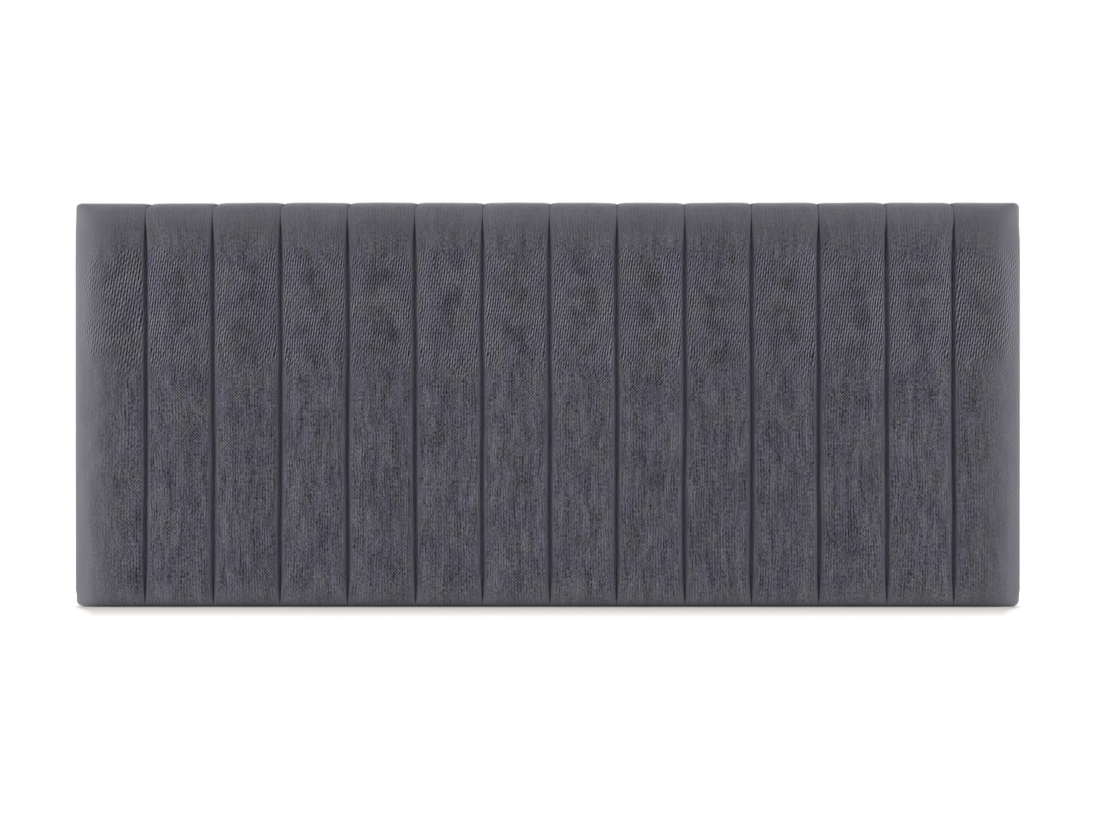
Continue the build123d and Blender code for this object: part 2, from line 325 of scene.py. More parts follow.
def pine(name, along, across):
    """Planed pine whose grain runs along one axis, with growth lines, late wood and small knots."""
    f = Finish(name, Specular_IOR_Level=0.3)
    axes = dict(zip("xyz", f.place()))
    run, side, depth = axes[along], axes[across], axes["y"]
    bend = f.cloud(run * 2.2, side * 9, depth * 9, detail=2.0)
    spread = f.cloud(run * 0.8, side * 30, depth * 30, 5.0) * 9.0
    rings = ((side * 640.0 + depth * 300.0 + bend * 30.0 + spread).sine() * 0.5 + 0.5).power(2.5)
    pores = f.cloud(run * 30, side * 900, depth * 900, detail=3.0, roughness=0.7)
    spots = f.vector(run * 3.1, side * 9.0, depth * 3.0)
    knots = f.node("ShaderNodeTexVoronoi", {"Vector": spots, "Scale": 1.0})["Distance"]
    knots = 1.0 - knots.ramp(0.05, 0.14)
    wood = f.mixed(rings * 0.55, paint(224, 192, 146), paint(196, 150, 98))
    wood = f.mixed(pores * 0.22, wood, paint(170, 124, 78))
    wood = f.mixed(knots * 0.8, wood, paint(112, 68, 38))
    return f.done(wood, 0.5 + 0.18 * pores, pores * 0.6 + rings * 0.4, 0.00025)


def plated(name, bright, dull):
    """Plated steel: rolling marks, a mottled passivation and duller worn spots."""
    f = Finish(name, Metallic=1.0)
    x, y, z = f.place()
    marks = f.cloud(x * 2600, z * 160, y * 2600, detail=2.0)
    spangle = f.cloud(x * 260, z * 260, y * 260, detail=3.0)
    colour = f.mixed(spangle, bright, dull)
    return f.done(colour, 0.28 + 0.2 * spangle + 0.08 * marks, marks, 0.00004)


def dust_cloth():
    """Black non-woven cloth: matted fibres with a pressed dot pattern."""
    f = Finish("black_dust_cloth", Sheen_Weight=0.15, Specular_IOR_Level=0.2)
    u, v = f.cloth_place()
    dots = (((u + v) * 2200.0).sine() * ((u - v) * 2200.0).sine()).ramp(0.35, 0.8)
    fibres = f.cloud(u * 900, v * 420, 1.0, detail=4.0, roughness=0.7)
    stretch = f.cloud(u * 26, v * 9, 3.0, detail=3.0, distortion=0.6)
    lint = f.cloud(u * 210, v * 180, 6.0, detail=2.0).ramp(0.66, 0.72)
    colour = f.mixed(fibres, paint(34, 34, 37), paint(58, 58, 62))
    colour = f.mixed(stretch.ramp(0.35, 0.70) * 0.45, colour, paint(66, 66, 70))
    colour = f.mixed(lint * 0.35, colour, paint(96, 95, 96))
    colour = f.mixed(dots * 0.5, colour, paint(26, 26, 28))
    return f.done(colour, 0.85, fibres * 0.5 + 0.35 * (1.0 - dots) + stretch * 0.6, 0.0005)


finishes = {
    "cover_cloth": slub_cloth(),
    "wadding": fleece(),
    "foam": foam(),
    "tape": cotton_tape(),
    "panel_board": hardboard(),
    "pine_rail": pine("pine_rail", "x", "z"),
    "pine_stile": pine("pine_stile", "z", "x"),
    "zinc_plate": plated("bright_zinc", paint(205, 208, 212), paint(168, 172, 178)),
    "screw_steel": plated("yellow_zinc", paint(214, 196, 132), paint(186, 164, 98)),
    "staple_wire": plated("galvanised_wire", paint(196, 198, 200), paint(150, 152, 156)),
    "dust_cloth": dust_cloth(),
}


# ---- Form of the padding ----

def smooth(share):
    share = np.clip(share, 0.0, 1.0)
    return share * share * (3 - 2 * share)


def padded_face(core_x, turn_x, core_z, turn_z, inset):
    """The padded board's outer face, without its channels. turn_x and turn_z go from -90 to 90 degrees as the
    face rolls over the ends, the bottom and the top."""
    roll_z = np.where(turn_z > 0, top_roll, bottom_roll) - inset
    x = core_x + (end_roll - inset) * np.sin(turn_x)
    z = core_z + roll_z * np.sin(turn_z)
    fold = np.where(turn_z > 0, 1.0, 0.5)
    y = side_y - (padding_rise - inset) * np.cos(turn_x) * np.clip(np.cos(turn_z), 0, 1) ** fold
    # the outline's corners are round: the square of each corner is pressed into a quarter disc
    over_x = np.clip((np.abs(x) - (width / 2 - inset - corner_rounding)) / corner_rounding, 0, 1)
    middle_z = height / 2
    over_z = np.clip((np.abs(z - middle_z) - (height / 2 - inset - corner_rounding)) / corner_rounding, 0, 1)
    x = x - np.sign(x) * corner_rounding * over_x * (1 - np.sqrt(1 - over_z ** 2 / 2))
    z = z - np.sign(z - middle_z) * corner_rounding * over_z * (1 - np.sqrt(1 - over_x ** 2 / 2))
    return np.stack([x, y, z], axis=-1)


def face_and_normal(core_x, turn_x, core_z, turn_z, inset):
    """The padded face and its outward normal, from small steps along both of its directions."""
    step, swing = 1e-4, 1e-3
    limit = math.pi / 2 - swing
    tx, tz = np.clip(turn_x, -limit, limit), np.clip(turn_z, -limit, limit)

    def near(side, up):
        return padded_face(core_x + side * step, tx + side * swing * (abs(turn_x) > 0), core_z + up * step,
                           tz + up * swing * (abs(turn_z) > 0), inset)

    normal = np.cross(near(1, 0) - near(-1, 0), near(0, 1) - near(0, -1))
    normal /= np.linalg.norm(normal, axis=-1, keepdims=True)
    return padded_face(core_x, turn_x, core_z, turn_z, inset), normal


def edge_rows(flat_rows, top_rows, bottom_rows):
    """Rows from the bottom outline to the top one: straight places, turns, and how far the channels and their
    open tucks have run out towards the outline."""
    low, high = bottom_roll, height - top_roll
    core = np.concatenate([[low] * bottom_rows, np.linspace(low, high, flat_rows + 1), [high] * top_rows])
    turn = np.radians(np.concatenate([np.linspace(-90, 0, bottom_rows + 1)[:-1], [0] * (flat_rows + 1),
                                      np.linspace(0, 90, top_rows + 1)[1:]]))
    place = core + np.where(turn > 0, top_roll, bottom_roll) * np.sin(turn)
    # each change starts at a height and goes on over a length, upwards or downwards
    near_top, near_bottom = smooth((place - 0.535) / 0.058), smooth((0.016 - place) / 0.015)
    closed = np.maximum(smooth((place - 0.515) / 0.072), smooth((0.058 - place) / 0.050))
    return core, turn, near_top, near_bottom, closed


def channel_patch(channel, rows, inset=0.0, clearance=0.0, foot_y=None, fin_steps=2, steps=(6, 5)):
    """A grid of points over one channel, from its left tuck to its right one. An end channel rolls over the
    board's end instead. foot_y ends the sides of padding; a cover's sides go down into the tucks. steps counts the
    columns over half the crown and over the shoulder, and fin_steps those inside the tuck."""
    core_z, turn_z, near_top, near_bottom, closed = rows
    middle = -width / 2 + pitch * (channel + 0.5)
    end_channel = channel in (0, channel_count - 1)
    crown_x = math.copysign(width / 2 - end_roll, middle) if end_channel else middle
    brim = smooth((turn_z - 0.95) / 0.45)
    shoulder = channel_shoulder + (roll_shoulder - channel_shoulder) * near_top
    shoulder = shoulder + (edge_shoulder - roll_shoulder) * brim + (least_shoulder - channel_shoulder) * near_bottom
    shoulder = np.maximum(shoulder, least_shoulder) - inset
    shoulder = np.maximum(shoulder, least_padding_shoulder if inset else 0.0)
    drop = channel_drop + (roll_drop - channel_drop) * near_top + (least_drop - channel_drop) * near_bottom
    drop = np.maximum(drop + (edge_drop - roll_drop) * brim, least_drop)
    mouth = tuck_gap + mouth_gap * (1 - closed) + clearance
    blocks = []
    for side in (-1, 1):
        if channel == (0 if side < 0 else channel_count - 1):
            block = [padded_face(crown_x + 0 * core_z, turn + 0 * turn_z, core_z, turn_z, inset)
                     for turn in np.radians(np.linspace(0, 90, 13)) * side]
        else:
            edge_x = abs(middle + side * pitch / 2 - crown_x)
            block = half_channel(crown_x, side, edge_x, mouth, shoulder, drop, core_z, turn_z, inset, foot_y,
                                 fin_steps, steps)
        blocks += block[:0:-1] if side < 0 else block
    return np.stack(blocks, axis=1)


def half_channel(crown_x, side, edge_x, mouth, shoulder, drop, core_z, turn_z, inset, foot_y, fin_steps, steps):
    """Columns of points from a channel's middle to its tuck and down into it."""
    half = edge_x - mouth
    crown = half ** 2 / (2 * drop)
    run = half - shoulder
    lean = np.arcsin(run / (crown - shoulder))
    fall = crown - np.sqrt((crown - shoulder) ** 2 - run ** 2)
    columns = []
    for n in range(steps[0]):
        angle = lean * n / steps[0]
        columns.append((crown * np.sin(angle), crown * (1 - np.cos(angle))))
    for n in range(steps[1] + 1):
        angle = lean + (math.pi / 2 - lean) * n / steps[1]
        columns.append((run + shoulder * np.sin(angle), fall - shoulder * np.cos(angle)))
    block = []
    for across, depth in columns:
        face, normal = face_and_normal(crown_x + side * across, 0 * turn_z, core_z, turn_z, inset)
        block.append(face - normal * depth[:, None])
    rim = block[-1]
    # the inner edge of the tuck, or the foot of the padding
    rise, sink = np.clip(np.sin(turn_z), 0, 1), np.clip(-np.sin(turn_z), 0, 1)
    end = rim.copy()
    if foot_y is None:
        end[:, 0] = crown_x + side * (edge_x - tuck_gap)
        end[:, 1] = tuck_end_y + (side_y - tuck_end_y) * np.maximum(rise, sink)
        end[:, 2] = core_z + (top_roll - tuck_in_from_top) * rise - (bottom_roll - tuck_in_from_bottom) * sink
        deep = mouth_depth / np.maximum(end[:, 1] - rim[:, 1], 2 * mouth_depth)
        pinch = rim + (end - rim) * deep[:, None]
        pinch[:, 0] = end[:, 0]
        block += [rim * 0.5 + pinch * 0.5, pinch]
        rim = pinch
    else:
        end[:, 1] = foot_y
    for n in range(1, fin_steps + 1):
        block.append(rim + (end - rim) * n / fin_steps)
    return block


def grid_quads(rows, columns):
    index = np.arange(rows * columns).reshape(rows, columns)
    return np.stack([index[:-1, :-1], index[:-1, 1:], index[1:, 1:], index[1:, :-1]], axis=-1).reshape(-1, 4)


def outline_path(rows, columns, left, right):
    """Grid places along the outline that go on to the sides and the back: all round, or only where wrapped."""
    index = np.arange(rows * columns).reshape(rows, columns)
    bottom, top, right_side, left_side = index[0], index[-1, ::-1], index[1:-1, -1], index[-2:0:-1, 0]
    if left and right:
        return [np.concatenate([bottom, right_side, top, left_side, bottom[:1]])]
    if right:
        return [np.concatenate([bottom, right_side, top])]
    if left:
        return [np.concatenate([top, left_side, bottom])]
    return [bottom, top]


def wrapped(patch, rings, inset=0.0, left=False, right=False):
    """A patch goes on over the outline along rings, each a y, a distance in from the outline and the share of
    the channels' depth that is left. Gives points, quads and each point's place on its ring."""
    rows, columns = patch.shape[:2]
    spread = patch.reshape(-1, 3)
    total = len(spread)
    points, quads = [spread], [grid_quads(rows, columns)]
    origins, distances = [np.arange(total)], [np.zeros(total)]
    half_w, low, high = width / 2 - inset, inset, height - inset
    round_x = half_w - corner_rounding
    for path in outline_path(rows, columns, left, right):
        closed = path[0] == path[-1]
        start = path[:-1] if closed else path
        row, column = start // columns, start % columns
        flat = (row == 0) | (row == rows - 1)
        ends = (left & (column == 0)) | (right & (column == columns - 1))
        # where the outline would be without the channels' dips
        base = spread[start].copy()
        x, above = base[:, 0], base[:, 2] > height / 2
        beyond = np.clip((np.abs(x) - round_x) / corner_rounding, 0, 1)
        arc = corner_rounding * (1 - np.sqrt(1 - beyond ** 2))
        straight = flat & ~ends
        base[straight, 2] = np.where(above, high - arc, low + arc)[straight]
        offset = spread[start] - base
        # the way in from the outline: up or down, sideways at the ends, and to the corner's centre round a corner
        inward = np.zeros_like(base)
        inward[:, 2] = np.where(above, -1.0, 1.0)
        inward[ends] = 0
        inward[ends, 0] = -np.sign(x[ends])
        corner_z = np.clip(base[:, 2], low + corner_rounding, high - corner_rounding)
        to_centre = np.stack([np.sign(x) * round_x - x, 0 * x, corner_z - base[:, 2]], axis=1)
        in_corner = (np.abs(x) > round_x) & (np.abs(to_centre[:, 2]) > 1e-6)
        to_centre /= np.maximum(np.linalg.norm(to_centre, axis=1, keepdims=True), 1e-9)
        inward[in_corner] = to_centre[in_corner]
        last, last_y, last_in, run = start, side_y, 0.0, 0.0
        for y, inside, left_over in rings:
            run += math.hypot(y - last_y, inside - last_in)
            ring = base + inward * min(inside, corner_rounding)
            ring[:, 0] = np.clip(ring[:, 0], -(half_w - inside), half_w - inside)
            ring[:, 2] = np.clip(ring[:, 2], low + inside, high - inside)
            ring = ring + offset * left_over
            ring[:, 1] = y
            index = total + np.arange(len(ring))
            total += len(ring)
            points.append(ring)
            origins.append(start)
            distances.append(np.full(len(ring), run))
            band = np.stack([last, index, np.roll(index, -1), np.roll(last, -1)], axis=-1)
            quads.append(band if closed else band[:-1])
            last, last_y, last_in = index, y, inside
    return np.concatenate(points), np.concatenate(quads), np.concatenate(origins), np.concatenate(distances)


def quad_normals(points, quads):
    """One unit normal a point, the mean of its faces' unit normals, and how far that mean leans from them."""
    a, b = points[quads[:, 2]] - points[quads[:, 0]], points[quads[:, 3]] - points[quads[:, 1]]
    face = np.cross(a, b)
    face /= np.maximum(np.linalg.norm(face, axis=1, keepdims=True), 1e-12)
    total = np.zeros_like(points)
    count = np.zeros(len(points))
    for corner in range(4):
        np.add.at(total, quads[:, corner], face)
        np.add.at(count, quads[:, corner], 1)
    length = np.linalg.norm(total, axis=1)
    return total / np.maximum(length, 1e-12)[:, None], length / np.maximum(count, 1)


def shell(outer, inner, quads):
    """A closed body between two skins of the same layout."""
    count = len(outer)
    edges = dict.fromkeys((int(quad[n]), int(quad[(n + 1) % 4])) for quad in quads for n in range(4))
    rim = [(a, b) for a, b in edges if (b, a) not in edges]
    sides = np.array([(b, a, a + count, b + count) for a, b in rim]).reshape(-1, 4)
    return np.concatenate([outer, inner]), np.concatenate([quads, quads[:, ::-1] + count, sides])


def cleaned(mesh, rounded=True):
    """Welds a mesh and turns its faces outward."""
    work = bmesh.new()
    work.from_mesh(mesh)
    bmesh.ops.remove_doubles(work, verts=work.verts, dist=welded)
    if rounded:
        bmesh.ops.dissolve_degenerate(work, dist=welded, edges=work.edges)
    bmesh.ops.recalc_face_normals(work, faces=work.faces)
    for face in work.faces:
        face.smooth = rounded
    work.to_mesh(mesh)
    work.free()
    return mesh


def make_piece(name, points, faces, finish, uv=None):
    """A welded, smooth mesh object in its finish."""
    mesh = mesh_of(name, points, faces=faces)
    if uv is not None:
        layer = mesh.uv_layers.new(name="cloth")
        corners = np.zeros(len(mesh.loops), np.int32)
        mesh.loops.foreach_get("vertex_index", corners)
        layer.data.foreach_set("uv", uv[corners].astype(np.float32).ravel())
    piece = placed(name, cleaned(mesh))
    mesh.materials.append(finishes[finish])
    return piece


def ripples(points, seed):
    """Smooth noise from -1 to 1 at each point."""
    return np.array([noise.noise(Vector(p) + Vector((seed, seed * 0.7, seed * 1.3))) for p in points])


# ---- Cover ----

def wandering(points):
    """The tucks wander a little to the sides, the channels differ in height, the top edge waves and has a notch at
    each tuck, and each corner of the outline is drawn in by its own amount."""
    x, y, z = points.T
    flat = points * (1, 0, 1)
    hold = 1 - smooth((np.abs(x) - 0.60) / 0.05)
    sway = ripples(flat * (7, 0, 5), 4.0) * 0.0016 + ripples(flat * (9, 0, 22), 9.0) * 0.0006
    front = smooth((side_y - y) / 0.012)
    swell = ripples(flat * (11, 0, 4), 2.0) * 0.0009 + ripples(flat * (30, 0, 24), 6.0) * 0.0004
    before = smooth((0.002 - y) / 0.008)
    high, low = smooth((z - 0.50) / 0.09), smooth((0.026 - z) / 0.026)
    lifted = smooth((z - frame_top_z) / (height - frame_top_z))
    wave = ripples(flat * (21, 0, 0), 5.0) * 0.0009
    end = smooth((np.abs(x) - 0.66) / 0.04)
    left = smooth((-0.35 - x) / 0.30)
    drawn = np.where(x < 0, low * 0.0050 + high ** 4 * 0.0010, low * 0.0030 + high ** 4 * 0.0035)
    # sewn a little aside of the board's own pitch, and pulled towards the middle where they end at the top
    drift = tuck_drift - tuck_squeeze * x
    gather = (0.0043 - 0.0125 * x) * smooth((z - 0.580) / 0.016) * smooth((y + 0.024) / 0.016)
    to_tuck = np.abs((x + width / 2 + pitch / 2) % pitch - pitch / 2)
    notch = notch_depth * np.exp(-(to_tuck / notch_width) ** 2) * hold
    moved = points.copy()
    moved[:, 0] += ((sway + drift) * front + gather) * hold - np.sign(x) * end * drawn * before
    moved[:, 1] += swell * front
    moved[:, 2] += (wave - 0.0026 - 0.0010 * left) * high * before
    moved[:, 2] += (wave * 0.7 - 0.0010 - 0.0013 * left) * lifted * (1 - before)
    moved[:, 2] -= notch * (smooth((z - 0.583) / 0.014) * before + lifted * (1 - before))
    return moved


def run_along(line):
    """How far along a line of points each of them lies."""
    return np.concatenate([[0], np.cumsum(np.linalg.norm(np.diff(line, axis=0), axis=1))])


def places_along(patch):
    """How far along the cloth each row and each column of a channel's grid lies, from 0 to 1."""
    up, across = run_along(patch[:, patch.shape[1] // 2]), run_along(patch[len(patch) // 2])
    return up / up[-1], across / across[-1]


def settled(grids, held_columns):
    """How far the cloth of each channel moves when the padding presses on it from inside: a cloth simulation of
    the coarse grids, held at the tucks and the outline. No point moves beyond settle_limit, and none goes in."""
    patch = np.concatenate(grids, axis=1)
    row_count, column_count = patch.shape[:2]
    quads = grid_quads(row_count, column_count)
    cloth = placed("cloth_at_rest", mesh_of("cloth_at_rest", patch.reshape(-1, 3), faces=quads))
    rows, columns = np.indices((row_count, column_count))
    held = np.concatenate(held_columns)[columns] | (rows == 0) | (rows == row_count - 1)
    group = cloth.vertex_groups.new(name="held")
    group.add([int(i) for i in np.flatnonzero(held.ravel())], 1.0, "REPLACE")
    modifier = cloth.modifiers.new("cloth", "CLOTH")
    values = dict(quality=6, mass=0.25, tension_stiffness=18, compression_stiffness=18, shear_stiffness=6,
                  bending_stiffness=0.6, tension_damping=8, compression_damping=8, use_pressure=True,
                  uniform_pressure_force=1.2, shrink_min=-0.012, vertex_group_mass="held")
    for name, value in values.items():
        setattr(modifier.settings, name, value)
    modifier.settings.effector_weights.gravity = 0
    modifier.collision_settings.use_collision = modifier.collision_settings.use_self_collision = False
    for frame_number in range(1, settle_frames + 1):
        scene.frame_set(frame_number)
    pressed = cloth.evaluated_get(bpy.context.evaluated_depsgraph_get()).to_mesh()
    places = np.zeros(3 * row_count * column_count)
    pressed.vertices.foreach_get("co", places)
    moves = places.reshape(patch.shape) - patch
    scene.frame_set(1)
    bpy.data.objects.remove(cloth)
    normals = quad_normals(patch.reshape(-1, 3), quads)[0].reshape(patch.shape)
    normals *= -np.sign(np.mean(normals[..., 1]))
    out = np.sum(moves * normals, axis=-1, keepdims=True)
    moves += normals * (np.clip(out, 0.0, None) - out)
    moves *= np.minimum(1.0, settle_limit / np.maximum(np.linalg.norm(moves, axis=-1, keepdims=True), 1e-9))
    moves = moves * ~held[..., None]
    return np.split(moves, np.cumsum([g.shape[1] for g in grids])[:-1], axis=1)


def resampled(values, places, new_places):
    """Values read off at new places along their first axis."""
    lines = values.reshape(len(places), -1).T
    read = np.stack([np.interp(new_places, places, line) for line in lines], axis=1)
    return read.reshape(len(new_places), *values.shape[1:])


def pressed_out(patches):
    """The channels' grids after the cloth has settled on a coarser copy of them."""
    coarse_rows = edge_rows(40, 8, 4)
    grids = [channel_patch(n, coarse_rows, fin_steps=1, steps=(4, 4)) for n in range(channel_count)]
    held = []
    for number, grid in enumerate(grids):
        mark = np.zeros(grid.shape[1], bool)
        mark[:4] = number > 0
        mark[-4:] = number < channel_count - 1
        mark[0] = mark[-1] = True
        held.append(mark)
    for patch, grid, moves in zip(patches, grids, settled(grids, held)):
        (up, across), (coarse_up, coarse_across) = places_along(patch), places_along(grid)
        raised = resampled(moves, coarse_up, up)
        patch += resampled(raised.swapaxes(0, 1), coarse_across, across).swapaxes(0, 1)
    return patches


bottom_rows = 8
rows = edge_rows(60, 12, bottom_rows)
channels = [channel_patch(n, rows) for n in range(channel_count)]
channels = pressed_out(channels)
patch = np.concatenate(channels, axis=1)
row_count, column_count = patch.shape[:2]
hem_rings = [(0.003, 0, 0.95), (0.013, 0, 0.75), (0.023, 0, 0.6), (0.032, 0, 0.45), (0.0372, 0.0006, 0.35),
             (0.0390, 0.0022, 0.25), (hem_back_y, 0.0050, 0.12), (hem_back_y, 0.012, 0.06),
             (hem_back_y, 0.019, 0.05), (hem_back_y, 0.026, 0.05), (hem_back_y, hem_width, 0.05)]
lining_rings = [(y - cloth_thick * (inside > 0), max(inside - cloth_thick, 0.0), share)
                for y, inside, share in hem_rings]
spread = patch.reshape(-1, 3)
normals, lean = quad_normals(spread, grid_quads(row_count, column_count))
normals *= -np.sign(np.mean(normals[:, 1]))
lining = (spread - normals * (cloth_thick / np.maximum(lean, 0.6))[:, None]).reshape(patch.shape)
outer, quads, origins, distances = wrapped(patch, hem_rings, left=True, right=True)
inner = wrapped(lining, lining_rings, cloth_thick, left=True, right=True)[0]
# the cloth's own coordinates: metres across and up the grid, and on along the rings, with 0 at the bottom edge
middle_column = np.argmin(np.abs(patch[row_count // 2, :, 0] - (width / 2 - 6.5 * pitch)))
cloth_u, cloth_v = run_along(patch[row_count // 2]), run_along(patch[:, middle_column])
row_of, column_of = origins // column_count, origins % column_count
over_edge = (row_of == row_count - 1) * 1.0 - (row_of == 0)
over_end = ((column_of == column_count - 1) * 1.0 - (column_of == 0)) * (over_edge == 0)
uv = np.stack([cloth_u[column_of] + distances * over_end, cloth_v[row_of] + distances * over_edge], axis=1)
uv[:, 1] += bottom_roll - cloth_v[bottom_rows]
skins, faces = shell(wandering(outer), wandering(inner), quads)
cover = make_piece("cover_cloth", skins, faces, "cover_cloth", np.concatenate([uv, uv]))


def corner_fold(name, side, above):
    """The pleat that the cloth makes where the hem turns a corner on the back. The back cloth covers the lower
    ones but for their outer ends."""
    start, end, diagonal = 0.0078, (hem_width if above else back_cloth_margin) - 0.0008, 0.7071
    along = np.linspace(start, end, 7)
    section = [(-0.0006, 0.0000), (-0.0010, 0.0005), (-0.0002, 0.0009), (0.0025, 0.0009), (0.0070, 0.0006),
               (0.0095, 0.0001)]
    points = []
    for n, inset in enumerate(along):
        share = 0.45 + 0.55 * n / 6
        for across, rise in section:
            z = inset + across * share * diagonal
            points.append((side * (width / 2 - z), hem_back_y + rise, height - z if above else z))
    points = np.array(points)
    under = points.copy()
    under[:, 1] = hem_back_y - 0.0003
    body, faces = shell(points, under, grid_quads(7, len(section)))
    fold = make_piece(name, body, faces, "cover_cloth", np.concatenate([points, under])[:, [0, 2]])
    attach(fold, "root")
    return fold


folds = [corner_fold(f"corner_fold_{edge}_{hand}", side, edge == "top")
         for edge in ("top", "bottom") for hand, side in (("left", -1), ("right", 1))]
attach(cover, "root")
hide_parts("cover")


# ---- Foam and wadding ----

def padding(node, form, channel, finish, inset, side_gap, foot_y, rings, inner_inset=None):
    """One strip of padding under the cover: a blanket between two skins, or a block with a flat foot."""
    at_left, at_right = channel == 0, channel == channel_count - 1
    coarse = edge_rows(36, 7, 4)

    def skin(depth):
        spread = channel_patch(channel, coarse, depth, side_gap + depth - inset, foot_y, 2, (5, 4))
        made, layout, _, _ = wrapped(spread, rings, depth, at_left, at_right)
        return wandering(made), layout

    outer, layout = skin(inset)
    if inner_inset is None:
        under = outer.copy()
        under[:, 1] = foot_y
    else:
        under, _ = skin(inner_inset)
    body, faces = shell(outer, under, layout)
    piece = make_piece(f"{node}_{form}", body, faces, finish)
    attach(piece, "root")
    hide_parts(node)


edge_wrap = [(0.014, 0, 0), (0.026, 0, 0), (frame_back_y, 0, 0)]
for number in range(1, channel_count + 1):
    padding(f"wadding_{number:02d}", "fleece", number - 1, "wadding", inset=0.0015, side_gap=0.0016,
            foot_y=0.0051, rings=edge_wrap, inner_inset=0.0065)
    padding(f"foam_strip_{number:02d}", "block", number - 1, "foam", inset=0.0068, side_gap=0.0069,
            foot_y=panel_front_y, rings=[(panel_front_y, 0, 0)])


# ---- Back cloth ----

def back_cloth_piece():
    """Black cloth over the back, drawn in a little between the stiles and puckered at its staples. Its top edge
    is turned under and sits on the top rail."""
    bay_width, staple_gap = 0.4407, 0.043
    half, low, top = width / 2 - back_cloth_margin, back_cloth_margin, back_cloth_top
    xs = np.linspace(-half, half, 141)
    zs = list(np.linspace(low, top - 0.003, 50))
    fold = [(top - 0.0010, back_y - 0.0001), (top, back_y - 0.0006), (top, frame_back_y + 0.0006),
            (top - 0.0010, frame_back_y + 0.0001), (top - 0.004, frame_back_y), (top - 0.015, frame_back_y)]
    z = np.array(zs + [place for place, _ in fold])
    y = np.array([back_y] * len(zs) + [depth for _, depth in fold])
    run = np.concatenate([[0], np.cumsum(np.hypot(np.diff(z), np.diff(y)))])
    grid_x, grid_z = np.meshgrid(xs, z)
    points = np.stack([grid_x, np.repeat(y[:, None], len(xs), axis=1), grid_z], axis=-1).reshape(-1, 3)
    drawn = np.repeat(np.arange(len(z)) < len(zs), len(xs))
    x, up = points[:, 0], points[:, 2]
    bay = np.abs(np.cos(x / bay_width * math.pi)) ** 0.7 * smooth((up - 0.08) / 0.12)
    bay *= 1 - smooth((up - 0.37) / 0.11)
    from_side, from_foot = half - np.abs(x), up - low
    edge = np.minimum(from_side, from_foot)
    along = np.where(from_side < from_foot, up, x)
    pucker = 0.5 + 0.5 * np.cos(2 * math.pi * along / staple_gap)
    sag = 0.0014 * bay + 0.0005 * np.abs(ripples(points * (14, 0, 9), 3.0))
    sag += 0.0004 * pucker * np.exp(-((edge - 0.008) / 0.008) ** 2)
    points[:, 1] -= np.minimum(sag * smooth((edge - (hem_width - low)) / 0.02), 0.0016) * drawn
    quads = grid_quads(len(z), len(xs))
    normals, lean = quad_normals(points, quads)
    normals *= np.sign(normals[0, 1])
    uv = np.stack([grid_x.ravel(), np.repeat(run, len(xs))], axis=1)
    body, faces = shell(points, points - normals * 0.0005, quads)
    piece = make_piece("back_cloth_sheet", body, faces, "dust_cloth", np.concatenate([uv, uv]))
    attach(piece, "root")
    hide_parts("back_cloth")
    float(run[-1])


back_cloth_piece()


# ---- Staples and screws ----

class Pattern(Wiring):
    """A Geometry Nodes tree in the making. Its named inputs are its sizes."""

    def __init__(self, name, **inputs):
        super().__init__(bpy.data.node_groups.new(name, "GeometryNodeTree"))
        sockets = self.tree.interface
        sockets.new_socket("Geometry", in_out="INPUT", socket_type="NodeSocketGeometry")
        for label, kind in inputs.items():
            sockets.new_socket(label, in_out="INPUT", socket_type="NodeSocket" + kind)
        sockets.new_socket("Geometry", in_out="OUTPUT", socket_type="NodeSocketGeometry")
        self.given = self.node("NodeGroupInput")

    def turned(self, low, high):
        """A rotation about Y by a random angle."""
        values = {"Min_001": low, "Max_001": high, "Seed": self.given["Seed"]}
        angle = self.node("FunctionNodeRandomValue", values, data_type="FLOAT")["Value_001"]
        return self.node("FunctionNodeAxisAngleToRotation", {"Axis": (0.0, 1.0, 0.0), "Angle": angle})[0]

    def ended(self, instances):
        """Ends the tree: real geometry in its finish."""
        whole = self.node("GeometryNodeRealizeInstances", {0: instances})[0]
        whole = self.node("GeometryNodeSetMaterial", {"Geometry": whole, "Material": self.given["Finish"]})[0]
        self.node("NodeGroupOutput", {0: whole})

    def made(self, name, points, edges, **values):
        """The plain piece that the tree makes on points or edges."""
        holder = placed(name + "_path", mesh_of(name, points, edges))
        modifier = holder.modifiers.new(name, "NODES")
        modifier.node_group = self.tree
        for socket in self.tree.interface.items_tree:
            if socket.in_out == "INPUT" and socket.name in values:
                modifier[socket.identifier] = values[socket.name]
        evaluated = holder.evaluated_get(bpy.context.evaluated_depsgraph_get())
        mesh = bpy.data.meshes.new_from_object(evaluated)
        holder.modifiers.remove(modifier)
        bpy.data.objects.remove(holder)
        mesh.name = name
        mesh.materials.clear()
        mesh.materials.append(values["Finish"])
        mesh.polygons.foreach_set("material_index", [0] * len(mesh.polygons))
        return placed(name, mesh)


